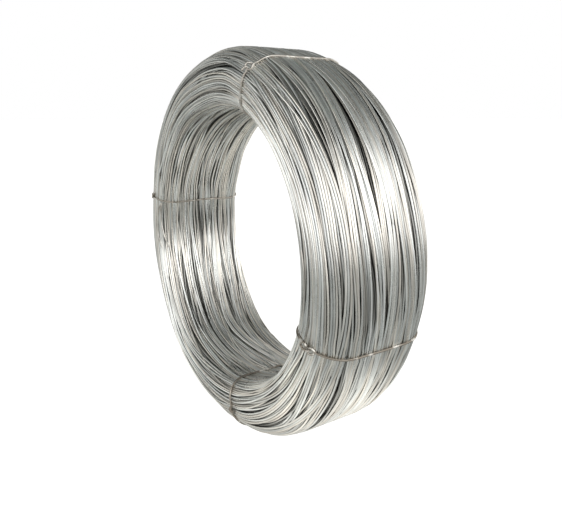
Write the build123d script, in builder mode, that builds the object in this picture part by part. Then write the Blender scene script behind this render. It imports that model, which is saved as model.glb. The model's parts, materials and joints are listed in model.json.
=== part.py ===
from build123d import *
import math
import os

# Coil of drawn galvanised steel wire, standing on its rim and held by four tie wires.
# Millimetres and degrees. The origin is the centre of the bore, the coil's axis runs along Y and +Z is up.

# Coil
bore_diameter = 350.0  # the block that the wire was coiled on
winding_depth = 70.0  # radial depth of the turns, from the bore to the crown
coil_width = 140.0  # from end to end, along the axis
shoulder_radius = 36.0  # rounding between each end and the crown
bore_edge_radius = 26.0  # rounding between each end and the bore
least_flat_length = 2.0  # straight stretch that is always left between two roundings
lay_groove_depth = 2.2  # how far the turns sink between one lay and the next

# Widths of the lays of turns, from the front edge of the bore, over the crown, to the back edge
lay_width_shares = (11, 10, 11, 10, 9, 10, 11, 10, 11)

# Tie wires
tie_diameter = 2.4
tie_sides = 4  # sides of the section that a tie is swept with
tie_bite = 1.8  # how far a tie is pulled down into the turns
tie_clearance = 0.1  # gap between a tie and what it lies against
eye_play = 0.9  # spare room for the hook inside the eye
eye_neck_radius = 3.0  # bend where the eye leaves its straight run
eye_closure_angle = 290.0  # how far round the eye is closed
hook_tail = 5.0  # straight end behind the hook

# Each tie's angle round the coil, from +X towards +Z
tie_angles = {
    "tie_wire_top": 68.2,
    "tie_wire_left": 169.3,
    "tie_wire_bottom": 281.6,
    "tie_wire_right": 344.9,
}

# How far up the front shoulder each tie's hook starts
knot_shares = {
    "tie_wire_top": 0.33,
    "tie_wire_left": 0.19,
    "tie_wire_bottom": 0.06,
    "tie_wire_right": 0.02,
}

# Sizes worked out from the ones above
bore_radius = bore_diameter / 2
crown_radius = bore_radius + winding_depth
half_width = coil_width / 2
end_fit = (winding_depth - least_flat_length) / (shoulder_radius + bore_edge_radius)
crown_fit = (coil_width - least_flat_length) / (2 * shoulder_radius)
rounding_fit = min(1, end_fit, crown_fit)  # the roundings give way to a shallow or narrow coil
tie_radius = tie_diameter / 2
tie_inset = tie_bite - tie_radius  # from the coil's outline in to the tie's middle line
seat_width = tie_diameter + 2 * tie_clearance
seat_arc = math.degrees(seat_width / bore_radius)
hook_radius = tie_diameter + tie_clearance
eye_radius = hook_radius + eye_play
neck_turn = math.degrees(math.acos(eye_neck_radius / (eye_neck_radius + eye_radius)))
cut_overrun = tie_diameter
quarter_turn = 90


def section_plane(angle):
    """Plane through the coil's axis at an angle: local x is the radius and local y runs along the axis."""
    turn = math.radians(angle)
    outward = (math.cos(turn), 0, math.sin(turn))
    return Plane(origin=(0, 0, 0), x_dir=outward, z_dir=(-math.sin(turn), 0, math.cos(turn)))


def section_limits(inset):
    """Bore, crown and side of the coil's section and its two roundings, all taken in by inset."""
    edge = rounding_fit * bore_edge_radius - inset
    shoulder = rounding_fit * shoulder_radius - inset
    return bore_radius + inset, crown_radius - inset, half_width - inset, edge, shoulder


def section_outline(inset):
    """Draws the coil's closed section, taken in by inset, in the line builder that is open."""
    bore, crown, side, edge, shoulder = section_limits(inset)
    corners = [(bore, -side), (crown, -side), (crown, side), (bore, side)]
    FilletPolyline(*corners, radius=[edge, shoulder, shoulder, edge], close=True)


def lay_path(inset):
    """The section, taken in by inset, from half way along the bore's front land round to its back land."""
    bore, crown, side, edge, shoulder = section_limits(inset)
    half_land = (side - edge) / 2
    front = [(bore, -half_land), (bore, -side), (crown, -side)]
    back = [(crown, side), (bore, side), (bore, half_land)]
    with BuildLine() as path:
        FilletPolyline(*front, *back, radius=[edge, shoulder, shoulder, edge])
    return path.wire()


def on_lay_path(path, share):
    """Point of the path at a share of the way from the front edge of the bore to the back edge."""
    half_land = (half_width - rounding_fit * bore_edge_radius) / 2
    length = half_land + share * (path.length - 2 * half_land)
    return path.position_at(length, position_mode=PositionMode.LENGTH)


def tie_bends():
    """Centre, radius and starting angle of a tie's four bends, in order from the front shoulder."""
    bore, crown, side, edge, shoulder = section_limits(tie_inset)
    return [
        ((crown - shoulder, shoulder - side), shoulder, 3 * quarter_turn),
        ((crown - shoulder, side - shoulder), shoulder, 0),
        ((bore + edge, side - edge), edge, quarter_turn),
        ((bore + edge, edge - side), edge, 2 * quarter_turn),
    ]


def on_bend(centre, radius, angle):
    """Point at an angle round a bend, in the plane of the section."""
    turn = math.radians(angle)
    return centre[0] + radius * math.cos(turn), centre[1] + radius * math.sin(turn)


def knot_angles(name):
    """Angles round the front shoulder where a tie lifts off towards its eye, and where its hook starts."""
    centre, radius, start = tie_bends()[0]
    hook = start + quarter_turn * knot_shares[name]
    return hook + math.degrees(math.acos(radius / (radius + hook_radius))), hook


def eye_plane(name):
    """Plane that touches the shoulder where a tie lifts off: local x runs back along the tie to its eye."""
    centre, radius, start = tie_bends()[0]
    lift, hook = knot_angles(name)
    section = section_plane(tie_angles[name])
    along, across = on_bend((0, 0), 1, lift)
    x, y = on_bend(centre, radius, lift)
    return Plane(
        origin=section.x_dir * x + section.y_dir * y,
        x_dir=section.x_dir * across - section.y_dir * along,
        z_dir=section.x_dir * along + section.y_dir * across,
    )


# How far back from there the neck starts and the middle of the eye lies
shoulder_bend_radius = tie_bends()[0][1]
eye_centre = math.sqrt((shoulder_bend_radius + hook_radius) ** 2 - shoulder_bend_radius**2) - eye_radius
neck_start = eye_centre - (eye_neck_radius + eye_radius) * math.sin(math.radians(neck_turn))

# Coil: one turned solid, with a ridge for each lay of turns
crests = lay_path(0)
grooves = lay_path(lay_groove_depth)
lay_total = sum(lay_width_shares)
laid = 0
lay_points = [on_lay_path(crests, 0)]
for share in lay_width_shares:
    lay_points.append(on_lay_path(crests, (laid + share / 2) / lay_total))
    laid += share
    lay_points.append(on_lay_path(grooves, laid / lay_total))
lay_points[-1] = on_lay_path(crests, 1)

with BuildPart() as wire_coil:
    with BuildSketch(Plane.XY):
        with BuildLine():
            Polyline(*lay_points, close=True)
        make_face()
    revolve(axis=Axis.Y)

    for name, angle in tie_angles.items():
        # A seat all round the section where the tie bites in
        with BuildSketch(section_plane(angle + seat_arc / 2)):
            with BuildLine():
                section_outline(-cut_overrun)
            make_face()
            with BuildLine():
                section_outline(tie_bite)
            make_face(mode=Mode.SUBTRACT)
        revolve(axis=Axis.Y, revolution_arc=seat_arc, mode=Mode.SUBTRACT)

        # A shallow seat under its eye
        with BuildSketch(eye_plane(name).offset(-seat_width / 2)):
            with Locations((eye_centre, 0)):
                Circle(eye_radius + seat_width / 2)
                neck_length = eye_centre - neck_start + seat_width / 2
                Rectangle(neck_length, eye_radius + seat_width, align=(Align.MAX, Align.CENTER))
        extrude(amount=tie_diameter + cut_overrun, mode=Mode.SUBTRACT)
wire_coil.part.label = "wire_coil"

os.makedirs("parts", exist_ok=True)
export_step(wire_coil.part, "parts/wire_coil.step")

# Tie wires: each is one wire, from its eye once round the section to the hook that passes through the eye
for name, angle in tie_angles.items():
    with BuildLine(eye_plane(name)) as eye:
        CenterArc((eye_centre, 0), eye_radius, 3 * quarter_turn - neck_turn, eye_closure_angle)
        CenterArc((neck_start, -eye_neck_radius), eye_neck_radius, quarter_turn, -neck_turn)
        Line((neck_start, 0), (0, 0))

    bends = tie_bends()
    centre, radius, start = bends[0]
    lift, hook = knot_angles(name)
    with BuildLine(section_plane(angle)) as loop:
        CenterArc(centre, radius, lift, start + quarter_turn - lift)
        for before, after in zip(bends, bends[1:] + bends[:1]):
            Line(on_bend(before[0], before[1], after[2]), on_bend(*after))
            if after is not bends[0]:
                CenterArc(*after, quarter_turn)
        CenterArc(centre, radius, start, hook - start)
        hook_centre = on_bend(centre, radius + hook_radius, hook)
        CenterArc(hook_centre, hook_radius, hook + 2 * quarter_turn, -2 * quarter_turn)
        tail_start = on_bend(centre, radius + 2 * hook_radius, hook)
        Line(tail_start, on_bend(tail_start, hook_tail, hook - quarter_turn))

    path = Wire(eye.edges() + loop.edges())
    with BuildPart() as tie_wire:
        with BuildSketch(Plane(origin=path @ 0, z_dir=path % 0)):
            RegularPolygon(radius=tie_radius, side_count=tie_sides)
        sweep(path=path)
    tie_wire.part.label = name
    export_step(tie_wire.part, f"parts/{name}.step")
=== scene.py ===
import bpy
import json
import math
import numpy as np
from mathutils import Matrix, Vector


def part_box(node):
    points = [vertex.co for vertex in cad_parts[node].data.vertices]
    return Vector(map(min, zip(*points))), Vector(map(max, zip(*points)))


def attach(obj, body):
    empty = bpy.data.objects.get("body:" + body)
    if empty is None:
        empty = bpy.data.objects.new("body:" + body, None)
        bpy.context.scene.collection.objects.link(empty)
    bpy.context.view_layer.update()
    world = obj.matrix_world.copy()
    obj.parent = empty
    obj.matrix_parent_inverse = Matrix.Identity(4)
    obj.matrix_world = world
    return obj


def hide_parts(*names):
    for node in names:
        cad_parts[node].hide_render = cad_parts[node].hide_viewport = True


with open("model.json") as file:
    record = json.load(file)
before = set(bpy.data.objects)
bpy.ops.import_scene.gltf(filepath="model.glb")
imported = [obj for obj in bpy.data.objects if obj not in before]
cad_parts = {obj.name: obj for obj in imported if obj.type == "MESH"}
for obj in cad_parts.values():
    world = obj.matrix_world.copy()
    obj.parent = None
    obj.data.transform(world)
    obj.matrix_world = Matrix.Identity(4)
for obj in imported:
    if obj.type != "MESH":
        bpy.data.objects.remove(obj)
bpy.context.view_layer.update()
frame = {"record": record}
mm = 0.001

# the coil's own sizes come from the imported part
coilLow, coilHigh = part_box("wire_coil")
coil = {
    "boreRadius": frame["record"]["mounts"][0]["dims"]["r_mm"],
    "crownRadius": coilHigh.x / mm,
    "halfWidth": coilHigh.y / mm,
    "shoulderRadius": 36.0,   # rounding between an end and the crown
    "boreEdgeRadius": 26.0,   # rounding between an end and the bore
    "floor": coilLow.z,
}
coil["middleRadius"] = (coil["boreRadius"] + coil["crownRadius"]) / 2
coil["halfDepth"] = (coil["crownRadius"] - coil["boreRadius"]) / 2

tieAngles = {"top": 68.2, "left": 169.3, "bottom": 281.6, "right": 344.9}


def sectionDistance(radius, across):
    # signed distance to the rounded section, below zero inside, with its outward direction
    x, y = radius - coil["middleRadius"], across
    rounding = np.where(x > 0, coil["shoulderRadius"], coil["boreEdgeRadius"])
    qx = np.abs(x) - coil["halfDepth"] + rounding
    qy = np.abs(y) - coil["halfWidth"] + rounding
    ox, oy = np.maximum(qx, 0), np.maximum(qy, 0)
    reach = np.hypot(ox, oy)
    inner = np.minimum(np.maximum(qx, qy), 0)
    flatX = np.where(qx > qy, 1.0, 0.0)
    safe = np.where(reach > 0, reach, 1.0)
    nx = np.where(reach > 0, ox / safe, flatX) * np.sign(x)
    ny = np.where(reach > 0, oy / safe, 1 - flatX) * np.sign(y)
    return reach + inner - rounding, nx, ny


def sectionOutline(inset, count=1440):
    # the closed section as evenly spaced points, from the middle of the bore by the front to the back
    low, high = coil["boreRadius"] + inset, coil["crownRadius"] - inset
    side = coil["halfWidth"] - inset
    edge, shoulder = coil["boreEdgeRadius"] - inset, coil["shoulderRadius"] - inset
    bends = [
        (low + edge, edge - side, edge, 180),
        (high - shoulder, shoulder - side, shoulder, 270),
        (high - shoulder, side - shoulder, shoulder, 0),
        (low + edge, side - edge, edge, 90),
    ]
    points = [(low, 0.0)]
    for cx, cy, radius, start in bends:
        for turn in np.radians(start + np.linspace(0, 90, 60)):
            points.append((cx + radius * math.cos(turn), cy + radius * math.sin(turn)))
    points.append((low, 0.0))
    points = np.array(points)
    length = np.concatenate([[0], np.cumsum(np.hypot(*np.diff(points, axis=0).T))])
    even = np.linspace(0, length[-1], count, endpoint=False)
    return np.stack([np.interp(even, length, points[:, i]) for i in (0, 1)], 1), length[-1]


# turns of the wire
turns = {
    "seed": 23,
    "wireDiameter": 2.5,
    "stations": 128,          # points round each turn
    "sides": (10, 6, 6),      # for each layer
    "layers": 3,              # layers of turns that can be seen into
    "layerDepth": 2.15,
    "pitch": 2.54,
    "layShares": (11, 10, 11, 10, 9, 10, 11, 10, 11),   # main lays, from the front edge of the bore
    "laySplit": (0.36, 0.64),  # where a lay parts into two bundles
    "boreBundles": 5,
    "looseness": (0.9, 0.8, 0.2),   # open turns in each bundle, for each layer
    "fieldWander": 5.0,       # drift that neighbouring bundles share
    "layWander": 2.0,         # drift of the edge of a main lay
    "bundleWander": 3.5,      # drift of the edge of a bundle
    "leastBundle": 5.0,       # mm
    "ribbonTurns": 3,         # turns that drift together inside a bundle
    "ribbonWander": 1.1,
    "turnWander": 0.22,
    "valleyDepth": 2.3,       # how far the turns sink between bundles
    "valleySwing": (0.15, 2.0),   # least and greatest share of that round the coil
    "valleyShape": 2.5,       # higher for a flatter bundle with steeper sides
    "valleyFade": 0.3,        # how much shallower they are in each layer below
    "layValley": 1.5,         # times as deep between main lays
    "levelWander": 0.5,       # in layers
    "levelSpread": 0.2,
    "squeeze": 0.9,           # how close a bundle's turns may be laid where it narrows
    "under": 0.3,             # how far every other bundle passes under its neighbours, in layers
    "crossers": 10,           # ribbons of turns that stray over the bundles
    "crosserTurns": (1, 4),
    "crosserWander": 5.0,
    "crosserRise": 0.3,       # mm
    "pinch": 1.8,             # how far a tie pulls the turns in
    "pinchWidth": 7.0,        # degrees
    "tieCalm": 0.6,           # how much more evenly the turns lie at a tie
    "slack": 0.3,             # how far the turns belly out between ties
    # places where the coil is out of round: angle, spread in degrees, how far out in mm
    "outOfRound": ((103, 14, -2.6), (236, 15, 4.2), (277, 24, -2.6)),
    "evenPlaces": ((300, 28, 0.5),),   # places where the turns lie more evenly: angle, spread, how much
    "frontCalm": 0.4,         # how much shallower the valleys are on the front face
}
rng = np.random.default_rng(turns["seed"])
stationAngles = np.linspace(0, 2 * np.pi, turns["stations"], endpoint=False)


def angleGap(a, b):
    return (a - b + np.pi) % (2 * np.pi) - np.pi


def humps(angles, rows):
    # a smooth hump at each row's angle
    total = np.zeros_like(angles)
    for angle, width, height in rows:
        total = total + height * np.exp(-(angleGap(angles, math.radians(angle)) / math.radians(width)) ** 2)
    return total


def tieHold(angles):
    # 1 at a tie, 0 well away from every tie
    width = math.radians(turns["pinchWidth"])
    hold = np.zeros_like(angles)
    for tieAngle in tieAngles.values():
        hold = np.maximum(hold, np.exp(-(angleGap(angles, math.radians(tieAngle)) / width) ** 2))
    return hold


def roundWander(rows, amplitude, harmonics, falloff):
    # smooth wander round the coil, one row of it for each bundle or turn
    wander = np.zeros((rows, turns["stations"]))
    for h in harmonics:
        size = amplitude / h ** falloff
        a, b = rng.normal(size=(2, rows, 1)) * size
        wander += a * np.cos(h * stationAngles) + b * np.sin(h * stationAngles)
    return wander


def fieldAt(places, around, rows):
    # drift at each place, from a few rows of wander spaced round the section
    t = places / around * len(rows)
    low = np.floor(t).astype(int)
    f = t - low
    f = f * f * (3 - 2 * f)
    stations = np.arange(turns["stations"])[None, :]
    return rows[low % len(rows), stations] * (1 - f) + rows[(low + 1) % len(rows), stations] * f


def bundleEdges(around):
    # where each bundle starts, at every station, in mm round the section
    land = coil["halfWidth"] - coil["boreEdgeRadius"]
    shares = np.cumsum((0,) + turns["layShares"]) / sum(turns["layShares"])
    lays = land + (around - 2 * land) * shares
    edges, drift = [], []
    for start, end in zip(lays[:-1], lays[1:]):
        edges += [start, start + (end - start) * rng.uniform(*turns["laySplit"])]
        drift += [turns["layWander"], turns["bundleWander"]]
    for i in range(turns["boreBundles"]):
        edges.append(lays[-1] + 2 * land * i / turns["boreBundles"])
        drift.append(turns["bundleWander"])
    wander = roundWander(len(edges), 1.0, (1, 2, 3, 4, 5), 0.5) * np.array(drift)[:, None]
    wander *= 1 - 0.5 * tieHold(stationAngles)
    edges = np.array(edges)[:, None] + wander
    widths = np.concatenate([edges[1:], edges[:1] + around]) - edges
    widths = np.maximum(widths, turns["leastBundle"])
    widths *= around / widths.sum(0)
    return edges[:1] + np.concatenate([np.zeros((1, turns["stations"])), np.cumsum(widths, 0)])


def layTurns():
    outline, around = sectionOutline(0)
    calm = 1 - turns["tieCalm"] * tieHold(stationAngles)
    calm = calm * (1 - humps(stationAngles, turns["evenPlaces"]))
    frontMiddle = coil["halfWidth"] + coil["halfDepth"]
    fieldRows = roundWander(2, turns["fieldWander"], (1, 2, 3), 0.5) * (0.5 + 0.5 * calm)
    places, depths, layerOf = [], [], []
    radius, pitch = turns["wireDiameter"] / 2, turns["pitch"]
    for layer in range(turns["layers"]):
        edges = bundleEdges(around)
        swing = np.clip(1 + roundWander(len(edges), 0.5, (1, 2, 3, 4), 0.3), *turns["valleySwing"])
        valleys = turns["valleyDepth"] * swing * calm
        valleys[::2] *= turns["layValley"]
        front = np.exp(-((edges.mean(1, keepdims=True) - frontMiddle) / coil["halfDepth"]) ** 2)
        valleys *= 1 - turns["frontCalm"] * front
        valleys[-1] = valleys[0]
        for k in range(len(edges) - 1):
            width = edges[k + 1] - edges[k]
            count = max(3, int(round(width.mean() / pitch - turns["looseness"][layer])))
            close = np.clip(width / (count + 0.3), turns["squeeze"] * pitch, pitch)
            under = turns["under"] * (k % 2)
            ribbonCount = count // turns["ribbonTurns"] + 1
            ribbons = roundWander(ribbonCount, turns["ribbonWander"], (2, 3, 4, 5, 7), 0.4) * calm
            own = roundWander(count, turns["turnWander"], (2, 3, 5, 7, 9, 12), 0.5)
            rise = roundWander(count, turns["levelWander"], (1, 2, 3, 5), 0.7)
            rise = rise + turns["levelSpread"] * rng.normal(size=(count, 1))
            for j in range(count):
                place = (edges[k] + edges[k + 1]) / 2 + (j - (count - 1) / 2) * close
                place = place + ribbons[j // turns["ribbonTurns"]] + own[j]
                across = np.clip(2 * (place - edges[k]) / width - 1, -1, 1)
                sink = np.where(across < 0, valleys[k], valleys[k + 1])
                sink = sink * np.abs(across) ** turns["valleyShape"] * (1 - turns["valleyFade"] * layer)
                places.append(place)
                level = np.clip(layer + rise[j] + under, 0, turns["layers"])
                depths.append(radius + level * turns["layerDepth"] + sink)
                layerOf.append(layer)
    for i in range(turns["crossers"]):
        count = rng.integers(*turns["crosserTurns"])
        middle = rng.uniform(0, around) + roundWander(1, turns["crosserWander"], (1, 2, 3), 0.5)[0]
        own = roundWander(count, turns["turnWander"], (2, 3, 5, 7), 0.5)
        for j in range(count):
            places.append(middle + (j - (count - 1) / 2) * pitch + own[j])
            depths.append(np.full(turns["stations"], radius - turns["crosserRise"]))
            layerOf.append(0)
    places, depths = np.array(places), np.array(depths)
    places = (places + fieldAt(places, around, fieldRows)) % around
    index = places / around * len(outline)
    low = np.floor(index).astype(int) % len(outline)
    part = (index - np.floor(index))[..., None]
    spot = outline[low] * (1 - part) + outline[(low + 1) % len(outline)] * part
    _, nx, ny = sectionDistance(spot[..., 0], spot[..., 1])
    spot = spot - np.stack([nx, ny], -1) * depths[..., None]
    return spot, depths, np.array(layerOf)


def eased(moved, times):
    # the same moves, evened out along each turn
    for i in range(times):
        moved = 0.5 * moved + 0.25 * (np.roll(moved, 1, axis=1) + np.roll(moved, -1, axis=1))
    return moved


settle = {
    "steps": 100,
    "sortEvery": 4,           # steps
    "neighbours": 8,          # turns on each side that a turn may push
    "clearance": 0.08,        # gap that turns are pushed to, in mm
    "push": 0.32,             # shares of the way that a turn is moved in one step
    "keepIn": 0.6,
    "keepUp": 0.5,
    "goBack": 0.05,
    "lastEasing": 6,
}


def settleTurns(spot, depth):
    # turns that overlap push each other aside, and all are drawn back inside the outline
    diameter = turns["wireDiameter"] + settle["clearance"]
    hold = tieHold(stationAngles)
    limit = turns["slack"] - (turns["slack"] + turns["pinch"]) * hold
    deepest = diameter / 2 + turns["layers"] * turns["layerDepth"] + turns["valleyDepth"]
    start = spot.copy()
    rows = np.arange(turns["stations"])[None, :]
    for step in range(settle["steps"]):
        if step % settle["sortEvery"] == 0:
            bearing = np.arctan2(spot[..., 1], spot[..., 0] - coil["middleRadius"])
            order = np.argsort(bearing, axis=0)
        sortedSpot = spot[order, rows]
        push = np.zeros_like(sortedSpot)
        for shift in range(1, settle["neighbours"] + 1):
            away = sortedSpot - np.roll(sortedSpot, -shift, axis=0)
            gap = np.hypot(away[..., 0], away[..., 1])
            overlap = np.maximum(diameter - gap, 0) * settle["push"]
            nudge = away / np.maximum(gap, 0.05)[..., None] * overlap[..., None]
            push += nudge - np.roll(nudge, shift, axis=0)
        spot[order, rows] = sortedSpot + push
        spot = start + eased(spot - start, 1)
        far, nx, ny = sectionDistance(spot[..., 0], spot[..., 1])
        out = np.maximum(far - (limit - diameter / 2), 0) * settle["keepIn"]
        sunk = np.minimum(far + deepest, 0) * settle["keepUp"]
        pull = (far + depth - limit) * settle["goBack"]
        spot = spot - np.stack([nx, ny], -1) * (out + sunk + pull)[..., None]
    return start + eased(spot - start, settle["lastEasing"])


def turnsBelow(spot):
    # how far each point of a turn lies below the turns beside it, in mm
    far, _, _ = sectionDistance(spot[..., 0], spot[..., 1])
    bearing = np.arctan2(spot[..., 1], spot[..., 0] - coil["middleRadius"])
    order = np.argsort(bearing, axis=0)
    rows = np.arange(turns["stations"])[None, :]
    level = far[order, rows]
    top = level.copy()
    for shift in range(1, 6):
        top = np.maximum(top, np.maximum(np.roll(level, shift, axis=0), np.roll(level, -shift, axis=0)))
    below = np.zeros_like(far)
    below[order, rows] = top - level
    return below


def sectionToSpace(spot):
    # section places at every station to places in the frame, in metres
    r, y = spot[..., 0] + humps(stationAngles, turns["outOfRound"]), spot[..., 1]
    return np.stack([r * np.cos(stationAngles), y, r * np.sin(stationAngles)], -1) * mm


def tubeRings(paths, radius, sides):
    # rings of points round each closed path
    along = np.roll(paths, -1, axis=1) - np.roll(paths, 1, axis=1)
    along /= np.linalg.norm(along, axis=-1, keepdims=True)
    upward = np.zeros_like(paths)
    upward[..., 1] = 1.0
    side = np.cross(upward, along)
    side /= np.linalg.norm(side, axis=-1, keepdims=True)
    other = np.cross(along, side)
    turn = np.linspace(0, 2 * np.pi, sides, endpoint=False)
    ring = side[:, :, None, :] * np.cos(turn)[:, None] + other[:, :, None, :] * np.sin(turn)[:, None]
    return paths[:, :, None, :] + radius * ring


def tubeFaces(count, stations, sides, closed=True):
    tube = np.arange(count)[:, None, None] * stations * sides
    last = stations if closed else stations - 1
    s = np.arange(last)[None, :, None]
    k = np.arange(sides)[None, None, :]
    here, there = tube + s * sides, tube + (s + 1) % stations * sides
    nextK = (k + 1) % sides
    quads = np.stack([here + k, here + nextK, there + nextK, there + k], -1)
    return quads.reshape(-1, 4)


def meshFromArrays(name, points, quads, values):
    mesh = bpy.data.meshes.new(name)
    mesh.vertices.add(len(points))
    mesh.vertices.foreach_set("co", np.ascontiguousarray(points, np.float32).ravel())
    mesh.loops.add(quads.size)
    mesh.loops.foreach_set("vertex_index", np.ascontiguousarray(quads, np.int32).ravel())
    mesh.polygons.add(len(quads))
    mesh.polygons.foreach_set("loop_start", np.arange(0, quads.size, 4, dtype=np.int32))
    mesh.polygons.foreach_set("use_smooth", np.ones(len(quads), bool))
    mesh.update(calc_edges=True)
    for key, value in values.items():
        attribute = mesh.attributes.new(key, "FLOAT", "POINT")
        attribute.data.foreach_set("value", np.ascontiguousarray(value, np.float32).ravel())
    obj = bpy.data.objects.new(name, mesh)
    bpy.context.scene.collection.objects.link(obj)
    return obj


def makeTurns():
    spot, depth, layerOf = layTurns()
    spot = settleTurns(spot, depth)
    below = turnsBelow(spot)
    paths = sectionToSpace(spot)
    print("turns laid", len(paths))
    # one piece for each stretch of the section, and two for each layer under it
    bearing = np.arctan2(spot[..., 1].mean(1), (spot[..., 0] - coil["middleRadius"]).mean(1))
    groups = {
        "turns_crown": (layerOf == 0) & (np.abs(bearing) < 1.1),
        "turns_front": (layerOf == 0) & (bearing <= -1.1) & (bearing > -2.4),
        "turns_back": (layerOf == 0) & (bearing >= 1.1) & (bearing < 2.4),
        "turns_bore": (layerOf == 0) & (np.abs(bearing) >= 2.4),
    }
    for layer in range(1, turns["layers"]):
        groups[f"turns_layer_{layer}_outer"] = (layerOf == layer) & (np.abs(bearing) < 1.6)
        groups[f"turns_layer_{layer}_inner"] = (layerOf == layer) & (np.abs(bearing) >= 1.6)
    _, nx, ny = sectionDistance(spot[..., 0], spot[..., 1])
    outward = np.stack([nx * np.cos(stationAngles), ny, nx * np.sin(stationAngles)], -1)
    tint = rng.normal(size=len(paths))
    pieces = []
    for name, chosen in groups.items():
        count = int(chosen.sum())
        sides = turns["sides"][layerOf[chosen].min()]
        rings = tubeRings(paths[chosen], turns["wireDiameter"] / 2 * mm, sides)
        quads = tubeFaces(count, turns["stations"], sides)
        # how far each point lies below the top of its own turn, so that the sides of each turn get painted
        # shade
        fromMiddle = rings - paths[chosen][:, :, None]
        lower = turns["wireDiameter"] / 2 - (fromMiddle * outward[chosen][:, :, None]).sum(-1) / mm
        values = {
            "wireTint": np.repeat(tint[chosen], turns["stations"] * sides),
            "wireBelow": below[chosen][:, :, None] + lower,
        }
        pieces.append(meshFromArrays(name, rings.reshape(-1, 3), quads, values))
        print(name, count, "turns", 2 * len(quads), "triangles")
    return pieces


heartRing = {
    "layersDown": 2.7,        # layers of turns above it
    "points": 240,
    "ridges": 60,
    "ridgeHeight": 0.8,
    "below": 6.0,             # depth that its painted shade is given for, in mm
}


def makeHeart():
    # the inmost turns, which few gaps reach, as one ring that is painted dark all over as shade
    inset = turns["wireDiameter"] + heartRing["layersDown"] * turns["layerDepth"]
    outline, _ = sectionOutline(inset, heartRing["points"])
    turn = np.arange(len(outline)) * 2 * np.pi / len(outline)
    ridges = heartRing["ridgeHeight"] * np.cos(heartRing["ridges"] * turn)
    _, nx, ny = sectionDistance(outline[:, 0], outline[:, 1])
    outline = outline + np.stack([nx, ny], 1) * ridges[:, None]
    loop = np.repeat(outline[:, None, :], turns["stations"], axis=1)
    points = sectionToSpace(loop).reshape(-1, 3)
    quads = tubeFaces(1, len(outline), turns["stations"])
    values = {
        "wireTint": np.zeros(len(points)),
        "wireBelow": np.full(len(points), heartRing["below"]),
    }
    return meshFromArrays("turns_heart", points, quads[:, ::-1], values)


turnPieces = makeTurns()
heart = makeHeart()

# tie wires
ties = {
    "wireDiameter": 2.4,
    "bite": 1.8,              # how far a tie lies below the outline of the turns
    "hookRadius": 2.5,
    "neckRadius": 3.0,
    "eyeClosure": 320,        # degrees
    "tail": 4.0,
    "sides": 10,
    "step": 1.0,
    "wobble": 0.7,
    # start is how far up the front shoulder the hook starts, eye and ring are the radii of the eye and of
    # a ring on the tail, lean and tip turn the eye in its plane and out of it, hand is the way it is bent,
    # lay is how far the hook is laid over along the turns, and shine is how much bright steel colour the
    # wire gets: partly how bright the wire has stayed, partly painted glints
    "knots": {
        "top": {
            "start": 0.33, "eye": 4.0, "lean": -22, "tip": 40, "hand": -1, "ring": 0, "lay": 0, "shine": 0.5,
        },
        "left": {
            "start": 0.02, "eye": 3.0, "lean": 0, "tip": 0, "hand": 1, "ring": 0, "lay": -65, "shine": 0.25,
        },
        "bottom": {
            "start": 0.06, "eye": 3.4, "lean": -8, "tip": 0, "hand": 1, "ring": 0, "lay": 50, "shine": 0.15,
        },
        "right": {
            "start": 0.09, "eye": 3.8, "lean": 6, "tip": 0, "hand": 1, "ring": 3.7, "lay": 0, "shine": 0.05,
        },
    },
    # loose ends: how far along the turns, and how far round from the front shoulder, in mm
    "ends": {
        "left": (
            ((3, -23), (13, -17.5), (33, -15.5), (53, -14.5), (68, -16.5), (84, -19)),
            ((4, -24), (12, -22), (32, -22), (45, -24.5), (62, -28), (75, -31)),
        ),
    },
    "endDiameter": 2.1,
    # the loose ends get a high shine: bright steel colour that is a painted highlight
    "endShine": 0.9,
}


def bendPoints(cx, cy, radius, start, sweep):
    count = max(3, int(abs(sweep) / 5))
    turn = np.radians(start + np.linspace(0, sweep, count))
    return np.stack([cx + radius * np.cos(turn), cy + radius * np.sin(turn)], 1)


def evenly(points, step):
    # the same path with points at even steps
    length = np.concatenate([[0], np.cumsum(np.linalg.norm(np.diff(points, axis=0), axis=1))])
    even = np.linspace(0, length[-1], max(3, int(length[-1] / step)))
    return np.stack([np.interp(even, length, points[:, i]) for i in range(3)], 1), even


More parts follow.
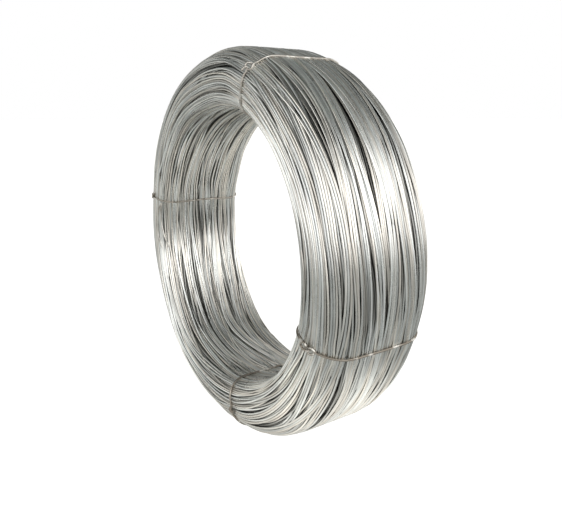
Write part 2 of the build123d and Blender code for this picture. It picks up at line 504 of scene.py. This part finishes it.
def tiePath(name):
    # radius, place across and place along the turns, from the eye once round to the end of the tail
    knot = ties["knots"][name]
    lean, ring = knot["lean"], knot["ring"]
    inset = ties["bite"] - ties["wireDiameter"] / 2
    bore, crown, side = coil["boreRadius"] + inset, coil["crownRadius"] - inset, coil["halfWidth"] - inset
    edge, shoulder = coil["boreEdgeRadius"] - inset, coil["shoulderRadius"] - inset
    hookRadius, eyeRadius, neckRadius = ties["hookRadius"], knot["eye"], ties["neckRadius"]
    hook = 270 + 90 * knot["start"]
    lift = hook + math.degrees(math.acos(shoulder / (shoulder + hookRadius)))
    cx, cy = crown - shoulder, shoulder - side
    neckTurn = math.degrees(math.acos(neckRadius / (neckRadius + eyeRadius)))
    eyeCentre = math.sqrt((shoulder + hookRadius) ** 2 - shoulder ** 2) - eyeRadius
    neckStart = eyeCentre - (neckRadius + eyeRadius) * math.sin(math.radians(neckTurn))
    eyeStart = 270 - neckTurn
    eye = np.concatenate([
        bendPoints(eyeCentre, 0, eyeRadius, eyeStart + ties["eyeClosure"], -ties["eyeClosure"]),
        bendPoints(neckStart, -neckRadius, neckRadius, 90 - neckTurn, neckTurn),
        [(neckStart * 0.5, 0)],
    ])
    tip = math.radians(knot["tip"])
    eye[:, 1] *= knot["hand"]
    up = -eye[:, 1] * math.sin(tip)
    eye[:, 1] *= math.cos(tip)
    c, t = math.cos(math.radians(lean)), math.sin(math.radians(lean))
    eye = np.stack([eye[:, 0] * c - eye[:, 1] * t, eye[:, 0] * t + eye[:, 1] * c], 1)
    a = math.radians(lift)
    ox, oy = cx + shoulder * math.cos(a), cy + shoulder * math.sin(a)
    eyePart = np.stack([
        ox + eye[:, 0] * math.sin(a) + up * math.cos(a),
        oy - eye[:, 0] * math.cos(a) + up * math.sin(a),
        -eye[:, 1],
    ], 1)
    b = math.radians(hook)
    hx, hy = cx + (shoulder + hookRadius) * math.cos(b), cy + (shoulder + hookRadius) * math.sin(b)
    tailReach = shoulder + 2 * hookRadius
    tx, ty = cx + tailReach * math.cos(b), cy + tailReach * math.sin(b)
    ex, ey = math.sin(b), -math.cos(b)
    loop = np.concatenate([
        bendPoints(cx, cy, shoulder, lift, 360 - lift),
        bendPoints(cx, side - shoulder, shoulder, 0, 90),
        bendPoints(bore + edge, side - edge, edge, 90, 90),
        bendPoints(bore + edge, edge - side, edge, 180, 90),
        bendPoints(cx, cy, shoulder, 270, hook - 270),
    ])
    loop = np.concatenate([loop, np.zeros((len(loop), 1))], 1)
    tail = [(tx + ex * ties["tail"], ty + ey * ties["tail"])]
    tail = np.concatenate([bendPoints(hx, hy, hookRadius, hook + 180, -180), tail])
    # the hook stands up from the turns or is laid over along them
    lay = math.radians(knot["lay"])
    high = (tail[:, 0] - cx) * math.cos(b) + (tail[:, 1] - cy) * math.sin(b) - shoulder
    low = high * (1 - math.cos(lay))
    tail = np.stack([
        tail[:, 0] - low * math.cos(b),
        tail[:, 1] - low * math.sin(b),
        high * math.sin(lay),
    ], 1)
    if ring:
        # the tail ends in a second eye
        turn = np.radians(np.linspace(-90, 215, 40))
        x = ties["tail"] + ring * np.cos(turn)
        curl = np.stack([tx + ex * x, ty + ey * x, ring + ring * np.sin(turn)], 1)
        tail = np.concatenate([tail, curl])
    path, even = evenly(np.concatenate([eyePart, loop, tail]), ties["step"])
    # the whole tie wavers a little, and its hook follows the lean of the eye
    total = even[-1]
    calm = np.clip((even - 40) / 30, 0, 1) * np.clip((total - 45 - even) / 30, 0, 1)
    phase = rng.uniform(0, 6.28, 3)
    waver = sum(np.sin(even / total * 2 * np.pi * (i + 2) + phase[i]) for i in range(3)) * 0.5
    path[:, 2] += ties["wobble"] * waver * calm
    path[:, 2] -= eyeCentre * t * np.clip((even - total + 40) / 20, 0, 1)
    for i in range(3):
        path[1:-1] = 0.25 * path[:-2] + 0.5 * path[1:-1] + 0.25 * path[2:]
    return path


def tieToSpace(path, angle):
    turn = math.radians(angle)
    out = np.array([math.cos(turn), 0, math.sin(turn)])
    along = np.array([-math.sin(turn), 0, math.cos(turn)])
    radius = path[:, :1] + humps(np.array([turn]), turns["outOfRound"])
    return (radius * out + path[:, 1:2] * np.array([0, 1, 0]) + path[:, 2:3] * along) * mm


def endPath(rows):
    # a loose end that lies on the turns of the front face and sinks between them at its tip
    rows, even = evenly(np.array([(along, place, 0.0) for along, place in rows]), ties["step"])
    for i in range(60):
        rows[1:-1] = 0.25 * rows[:-2] + 0.5 * rows[1:-1] + 0.25 * rows[2:]
    shoulder, edge, side = coil["shoulderRadius"], coil["boreEdgeRadius"], coil["halfWidth"]
    flat = coil["crownRadius"] - shoulder - coil["boreRadius"] - edge
    height = ties["endDiameter"] / 2 * (1 - 3 * np.clip(even / even[-1] * 4 - 3, 0, 1))
    turn = np.minimum(rows[:, 1] + flat, 0) / edge
    radius = coil["boreRadius"] + edge + (edge + height) * np.sin(turn) + np.maximum(rows[:, 1] + flat, 0)
    across = edge - side - (edge + height) * np.cos(turn)
    return np.stack([radius, across, rows[:, 0]], 1)


def wireTube(points, radius, sides):
    # a round wire along one open path, with closed ends
    along = np.gradient(points, axis=0)
    along /= np.linalg.norm(along, axis=1, keepdims=True)
    side = np.cross(along[0], (0.3, 0.8, 0.5))
    rings = []
    turn = np.linspace(0, 2 * np.pi, sides, endpoint=False)
    for point, way in zip(points, along):
        side = side - way * side.dot(way)
        side /= np.linalg.norm(side)
        other = np.cross(way, side)
        rings.append(point + radius * (np.cos(turn)[:, None] * side + np.sin(turn)[:, None] * other))
    first = points[0] + (rings[0] - points[0]) * 0.05 - along[0] * radius * 0.3
    last = points[-1] + (rings[-1] - points[-1]) * 0.05 + along[-1] * radius * 0.3
    rings = np.array([first] + rings + [last])
    return rings.reshape(-1, 3), tubeFaces(1, len(rings), sides, False)


def makeTie(name):
    angle = tieAngles[name]
    wires = [(tieToSpace(tiePath(name), angle), ties["wireDiameter"], ties["knots"][name]["shine"])]
    for rows in ties["ends"].get(name, ()):
        path = endPath(rows)
        turn = math.radians(angle) + path[:, 2] / path[:, 0]
        place = np.stack([path[:, 0] * np.cos(turn), path[:, 1], path[:, 0] * np.sin(turn)], 1)
        wires.append((place * mm, ties["endDiameter"], ties["endShine"]))
    points, quads, shine, start = [], [], [], 0
    for wire, diameter, bright in wires:
        p, q = wireTube(wire, diameter / 2 * mm, ties["sides"])
        points.append(p)
        quads.append(q + start)
        shine.append(np.full(len(p), bright))
        start += len(p)
    points, quads = np.concatenate(points), np.concatenate(quads)
    values = {
        "wireTint": np.full(len(points), rng.normal()),
        "wireBelow": np.zeros(len(points)),
        "wireShine": np.concatenate(shine),
    }
    return meshFromArrays("tie_" + name, points, quads, values)


tiePieces = {name: makeTie(name) for name in tieAngles}
print("ties made")


# effects that several materials share
def newGroup(name, inputs, outputs):
    group = bpy.data.node_groups.new(name, "ShaderNodeTree")
    for label, kind, value in inputs:
        socket = group.interface.new_socket(label, in_out="INPUT", socket_type=kind)
        socket.default_value = value
    for label, kind in outputs:
        group.interface.new_socket(label, in_out="OUTPUT", socket_type=kind)
    return group, group.nodes.new("NodeGroupInput"), group.nodes.new("NodeGroupOutput")


def mathNode(tree, operation, *values):
    node = tree.nodes.new("ShaderNodeMath")
    node.operation = operation
    for socket, value in zip(node.inputs, values):
        if isinstance(value, bpy.types.NodeSocket):
            tree.links.new(value, socket)
        else:
            socket.default_value = value
    return node.outputs[0]


def spread(tree, value, low, high, toLow, toHigh, kind="SMOOTHSTEP"):
    node = tree.nodes.new("ShaderNodeMapRange")
    node.interpolation_type = kind
    for socket, number in zip(list(node.inputs)[1:5], (low, high, toLow, toHigh)):
        socket.default_value = number
    tree.links.new(value, node.inputs[0])
    return node.outputs[0]


def named(tree, name):
    node = tree.nodes.new("ShaderNodeAttribute")
    node.attribute_name = name
    return node.outputs["Fac"]


def mixColour(tree, share, first, second, blend="MIX"):
    node = tree.nodes.new("ShaderNodeMix")
    node.data_type = "RGBA"
    node.blend_type = blend
    for socket, value in zip((node.inputs[0], node.inputs[6], node.inputs[7]), (share, first, second)):
        if isinstance(value, bpy.types.NodeSocket):
            tree.links.new(value, socket)
        elif isinstance(value, tuple):
            socket.default_value = (*value, 1)
        else:
            socket.default_value = value
    return node.outputs[2]


def drawnWireGroup():
    # tone of each turn and the streaks that drawing leaves along it
    group, given, result = newGroup(
        "drawnWire",
        [("Streak Length", "NodeSocketFloat", 60.0), ("Spread", "NodeSocketFloat", 0.12)],
        [("Tone", "NodeSocketColor"), ("Streak", "NodeSocketFloat")],
    )
    tint = named(group, "wireTint")
    place = group.nodes.new("ShaderNodeTexCoord")
    noise = group.nodes.new("ShaderNodeTexNoise")
    noise.noise_dimensions = "4D"
    noise.inputs["Detail"].default_value = 3.0
    group.links.new(place.outputs["Object"], noise.inputs["Vector"])
    group.links.new(mathNode(group, "MULTIPLY", tint, 23.0), noise.inputs["W"])
    scale = mathNode(group, "DIVIDE", 1 / mm, given.outputs["Streak Length"])
    group.links.new(scale, noise.inputs["Scale"])
    streak = spread(group, noise.outputs["Fac"], 0.35, 0.65, 0.0, 1.0)
    ownShift = mathNode(group, "MULTIPLY", tint, 0.5)
    shift = mathNode(group, "ADD", ownShift, mathNode(group, "SUBTRACT", streak, 0.5))
    tone = mathNode(group, "MULTIPLY_ADD", shift, given.outputs["Spread"], 1.0)
    mixed = mathNode(group, "SINE", mathNode(group, "MULTIPLY", tint, 31.0))
    warm = spread(group, mixed, -1.0, 1.0, 0.0, 1.0)
    colour = mixColour(group, warm, (0.955, 0.98, 1.0), (1.0, 0.965, 0.93))
    group.links.new(mixColour(group, 1.0, colour, tone, "MULTIPLY"), result.inputs["Tone"])
    group.links.new(streak, result.inputs["Streak"])
    return group


def sunkenShadeGroup():
    # painted shade: how far to darken turns, and the sides of turns, that lie below the ones beside them
    group, given, result = newGroup(
        "sunkenShade",
        [("Depth", "NodeSocketFloat", 2.8), ("Strength", "NodeSocketFloat", 0.8)],
        [("Mask", "NodeSocketFloat")],
    )
    share = mathNode(group, "DIVIDE", named(group, "wireBelow"), given.outputs["Depth"])
    mask = spread(group, share, 0.2, 1.0, 0.0, 1.0, "LINEAR")
    mask = mathNode(group, "MULTIPLY", mask, given.outputs["Strength"])
    group.links.new(mask, result.inputs["Mask"])
    return group


def bloomGroup():
    # soft patches where the zinc has dulled
    group, given, result = newGroup(
        "zincBloom",
        [("Scale", "NodeSocketFloat", 9.0)],
        [("Mask", "NodeSocketFloat")],
    )
    place = group.nodes.new("ShaderNodeTexCoord")
    noise = group.nodes.new("ShaderNodeTexNoise")
    noise.inputs["Detail"].default_value = 4.0
    noise.inputs["Roughness"].default_value = 0.6
    group.links.new(place.outputs["Object"], noise.inputs["Vector"])
    group.links.new(given.outputs["Scale"], noise.inputs["Scale"])
    group.links.new(spread(group, noise.outputs["Fac"], 0.42, 0.68, 0.0, 1.0), result.inputs["Mask"])
    return group


drawnWire, sunkenShade, zincBloom = drawnWireGroup(), sunkenShadeGroup(), bloomGroup()


def useGroup(tree, group, **values):
    node = tree.nodes.new("ShaderNodeGroup")
    node.node_tree = group
    for label, value in values.items():
        node.inputs[label].default_value = value
    return node.outputs


zinc = {
    "bright": (0.84, 0.84, 0.815),
    "dull": (0.71, 0.71, 0.69),
    # the groove colour is the painted shade between and below the turns; the two strengths say how far it is
    # painted on the top turns and on the layers under them
    "grooveShade": (0.16, 0.16, 0.15),
    "roughness": (0.24, 0.40),
    "toneSpread": 0.26,
    "sunkenStrength": 0.92,
    "deepStrength": 0.92,
}
steel = {
    # bright is the colour that the painted glints and each tie's shine give the steel
    "bright": (0.80, 0.78, 0.74),
    "dull": (0.25, 0.22, 0.185),
    "roughness": (0.28, 0.46),
    "glintLength": 14.0,
    "bloomScale": 60.0,
    "bloomStrength": 0.6,
}


def zincMaterial(name, sunkenStrength):
    material = bpy.data.materials.new(name)
    material.use_nodes = True
    tree = material.node_tree
    shader = tree.nodes["Principled BSDF"]
    shader.inputs["Metallic"].default_value = 1.0
    drawn = useGroup(tree, drawnWire, Spread=zinc["toneSpread"])
    # painted shade: turns that lie below their neighbours are darkened towards the groove colour
    paintedShade = useGroup(tree, sunkenShade, Strength=sunkenStrength)["Mask"]
    bloom = useGroup(tree, zincBloom)["Mask"]
    colour = mixColour(tree, bloom, zinc["bright"], zinc["dull"])
    colour = mixColour(tree, 1.0, colour, drawn["Tone"], "MULTIPLY")
    colour = mixColour(tree, paintedShade, colour, zinc["grooveShade"])
    tree.links.new(colour, shader.inputs["Base Color"])
    low, high = zinc["roughness"]
    rough = mathNode(tree, "MULTIPLY_ADD", bloom, (high - low) * 0.6, low)
    rough = mathNode(tree, "MULTIPLY_ADD", drawn["Streak"], (high - low) * 0.4, rough)
    tree.links.new(rough, shader.inputs["Roughness"])
    return material


def steelMaterial(name):
    material = bpy.data.materials.new(name)
    material.use_nodes = True
    tree = material.node_tree
    shader = tree.nodes["Principled BSDF"]
    shader.inputs["Metallic"].default_value = 1.0
    streak = useGroup(tree, drawnWire, **{"Streak Length": steel["glintLength"]})["Streak"]
    bloom = useGroup(tree, zincBloom, Scale=steel["bloomScale"])["Mask"]
    # painted glints: bright steel colour in streaks along the wire, raised by the wire's shine
    glint = spread(tree, streak, 0.55, 1.0, 0.0, 1.0)
    glint = mathNode(tree, "MINIMUM", mathNode(tree, "ADD", glint, named(tree, "wireShine")), 1.0)
    colour = mixColour(tree, glint, steel["dull"], steel["bright"])
    dulled = mathNode(tree, "MULTIPLY", bloom, steel["bloomStrength"])
    colour = mixColour(tree, dulled, colour, steel["dull"])
    tree.links.new(colour, shader.inputs["Base Color"])
    low, high = steel["roughness"]
    tree.links.new(mathNode(tree, "MULTIPLY_ADD", bloom, high - low, low), shader.inputs["Roughness"])
    return material


zincPaint = zincMaterial("zincWire", zinc["sunkenStrength"])
deepPaint = zincMaterial("zincWireDeep", zinc["deepStrength"])
tiePaint = steelMaterial("tieSteel")
for piece in turnPieces:
    piece.data.materials.append(deepPaint if "layer" in piece.name else zincPaint)
    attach(piece, "root")
heart.data.materials.append(deepPaint)
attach(heart, "root")
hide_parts("wire_coil")
for name, piece in tiePieces.items():
    piece.data.materials.append(tiePaint)
    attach(piece, "root")
    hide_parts("tie_wire_" + name)
print("materials made")

# floor, light and camera
stage = {
    "floorSize": 60.0,
    "floorColour": (0.34, 0.34, 0.335),
    "floorNear": (0.95, 0.93, 0.87),    # light that the sheet under the coil gives back
    "floorFar": (0.155, 0.165, 0.16),
    "floorLeft": (0.90, 0.88, 0.83),
    "leftAzimuth": 232.0,
    "leftReach": (0.50, 0.95),
    "shade": 0.25,                       # of the sheet's light right under the coil
    "shadeReach": (0.22, 0.20),
    "sheet": (0.20, 0.37),               # metres over which one passes into the other
    "floorSeen": (0.95, 0.95, 0.94),     # keeps the floor pale out to the horizon
    "worldSide": (0.10, 0.11, 0.11),
    "worldLeft": (0.95, 0.93, 0.87),
    "worldLeftReach": (0.50, 0.95),
    "worldTop": (0.18, 0.19, 0.18),
    "topReach": (0.15, 0.65),
    "band": (2.05, 2.02, 1.97),           # bright band of windows round the front and right
    "bandAzimuth": 70.0,
    "bandSpread": (-0.65, -0.10),
    "bandFoot": (-0.05, 0.12),
    "bandHead": (0.40, 0.78),
}


def towards(tree, place, azimuth):
    # how far a place or direction lies towards an azimuth
    node = tree.nodes.new("ShaderNodeVectorMath")
    node.operation = "DOT_PRODUCT"
    turn = math.radians(azimuth)
    node.inputs[1].default_value = (math.sin(turn), -math.cos(turn), 0)
    tree.links.new(place, node.inputs[0])
    return node.outputs["Value"]


def makeStage():
    bpy.ops.mesh.primitive_plane_add(size=stage["floorSize"], location=(0, 0, coil["floor"]))
    floor = bpy.context.object
    floor.name = "floor"
    material = bpy.data.materials.new("floorPaint")
    material.use_nodes = True
    tree = material.node_tree
    shader = tree.nodes["Principled BSDF"]
    shader.inputs["Base Color"].default_value = (*stage["floorColour"], 1)
    shader.inputs["Roughness"].default_value = 0.9
    # the floor glows: painted light standing in for light that a lit sheet under the coil gives back,
    # darkened right under the coil as a painted contact shadow
    shader.inputs["Emission Strength"].default_value = 1.0
    place = tree.nodes.new("ShaderNodeTexCoord")
    reach = tree.nodes.new("ShaderNodeVectorMath")
    reach.operation = "LENGTH"
    tree.links.new(place.outputs["Object"], reach.inputs[0])
    far = spread(tree, reach.outputs["Value"], *stage["sheet"], 0.0, 1.0)
    left = towards(tree, place.outputs["Object"], stage["leftAzimuth"])
    left = spread(tree, left, *stage["leftReach"], 0.0, 1.0)
    around = mixColour(tree, left, stage["floorFar"], stage["floorLeft"])
    glow = mixColour(tree, far, stage["floorNear"], around)
    under = tree.nodes.new("ShaderNodeVectorMath")
    under.operation = "MULTIPLY"
    under.inputs[1].default_value = (1 / stage["shadeReach"][0], 1 / stage["shadeReach"][1], 0)
    tree.links.new(place.outputs["Object"], under.inputs[0])
    near = tree.nodes.new("ShaderNodeVectorMath")
    near.operation = "LENGTH"
    tree.links.new(under.outputs[0], near.inputs[0])
    shade = spread(tree, near.outputs["Value"], 0.2, 1.0, stage["shade"], 1.0)
    glow = mixColour(tree, 1.0, glow, shade, "MULTIPLY")
    seen = tree.nodes.new("ShaderNodeLightPath").outputs["Is Camera Ray"]
    tree.links.new(mixColour(tree, seen, glow, stage["floorSeen"]), shader.inputs["Emission Color"])
    floor.data.materials.append(material)


def makeWorld():
    world = bpy.data.worlds.new("studio")
    bpy.context.scene.world = world
    world.use_nodes = True
    tree = world.node_tree
    background = tree.nodes["Background"]
    direction = tree.nodes.new("ShaderNodeTexCoord").outputs["Generated"]
    split = tree.nodes.new("ShaderNodeSeparateXYZ")
    tree.links.new(direction, split.inputs[0])
    height = split.outputs["Z"]
    facing = towards(tree, direction, stage["bandAzimuth"])
    left = towards(tree, direction, stage["leftAzimuth"])
    left = spread(tree, left, *stage["worldLeftReach"], 0.0, 1.0)
    side = mixColour(tree, left, stage["worldSide"], stage["worldLeft"])
    room = mixColour(tree, spread(tree, height, *stage["topReach"], 0.0, 1.0), side, stage["worldTop"])
    band = spread(tree, facing, *stage["bandSpread"], 0.0, 1.0)
    band = mathNode(tree, "MULTIPLY", band, spread(tree, height, *stage["bandFoot"], 0.0, 1.0))
    band = mathNode(tree, "MULTIPLY", band, spread(tree, height, *stage["bandHead"], 1.0, 0.0))
    light = mixColour(tree, band, room, stage["band"])
    seen = tree.nodes.new("ShaderNodeLightPath").outputs["Is Camera Ray"]
    tree.links.new(mixColour(tree, seen, light, (1.0, 1.0, 1.0)), background.inputs["Color"])


def softbox(name, azimuth, elevation, distance, width, height, power):
    data = bpy.data.lights.new(name, "AREA")
    data.shape = "RECTANGLE"
    data.size, data.size_y = width, height
    data.energy = power
    lamp = bpy.data.objects.new(name, data)
    a, e = math.radians(azimuth), math.radians(elevation)
    back = Vector((math.sin(a) * math.cos(e), -math.cos(a) * math.cos(e), math.sin(e)))
    lamp.location = back * distance
    lamp.rotation_euler = back.to_track_quat("Z", "Y").to_euler()
    bpy.context.scene.collection.objects.link(lamp)


view = {
    "azimuth": 58.64,
    "elevation": 13.70,
    "distance": 0.7085,
    "focalPixels": 527.8,
    "imageWidth": 562,
    "imageHeight": 512,
    "middlePixel": (259.46, 241.31),   # where the middle of the bore shows
}


def makeCamera():
    data = bpy.data.cameras.new("camera")
    camera = bpy.data.objects.new("camera", data)
    bpy.context.scene.collection.objects.link(camera)
    a, e = math.radians(view["azimuth"]), math.radians(view["elevation"])
    back = Vector((math.sin(a) * math.cos(e), -math.cos(a) * math.cos(e), math.sin(e)))
    camera.location = back * view["distance"]
    camera.rotation_euler = (-back).to_track_quat("-Z", "Y").to_euler()
    data.sensor_width = 36.0
    data.lens = data.sensor_width * view["focalPixels"] / view["imageWidth"]
    x, y = view["middlePixel"]
    data.shift_x = (view["imageWidth"] / 2 - x) / view["imageWidth"]
    data.shift_y = (y - view["imageHeight"] / 2) / view["imageWidth"]
    data.clip_start = 0.01
    bpy.context.scene.camera = camera


makeStage()
makeWorld()
softbox("key", 100, 40, 2.0, 1.2, 1.0, 4)
makeCamera()
bpy.context.scene.view_settings.view_transform = "Standard"
print("stage set")
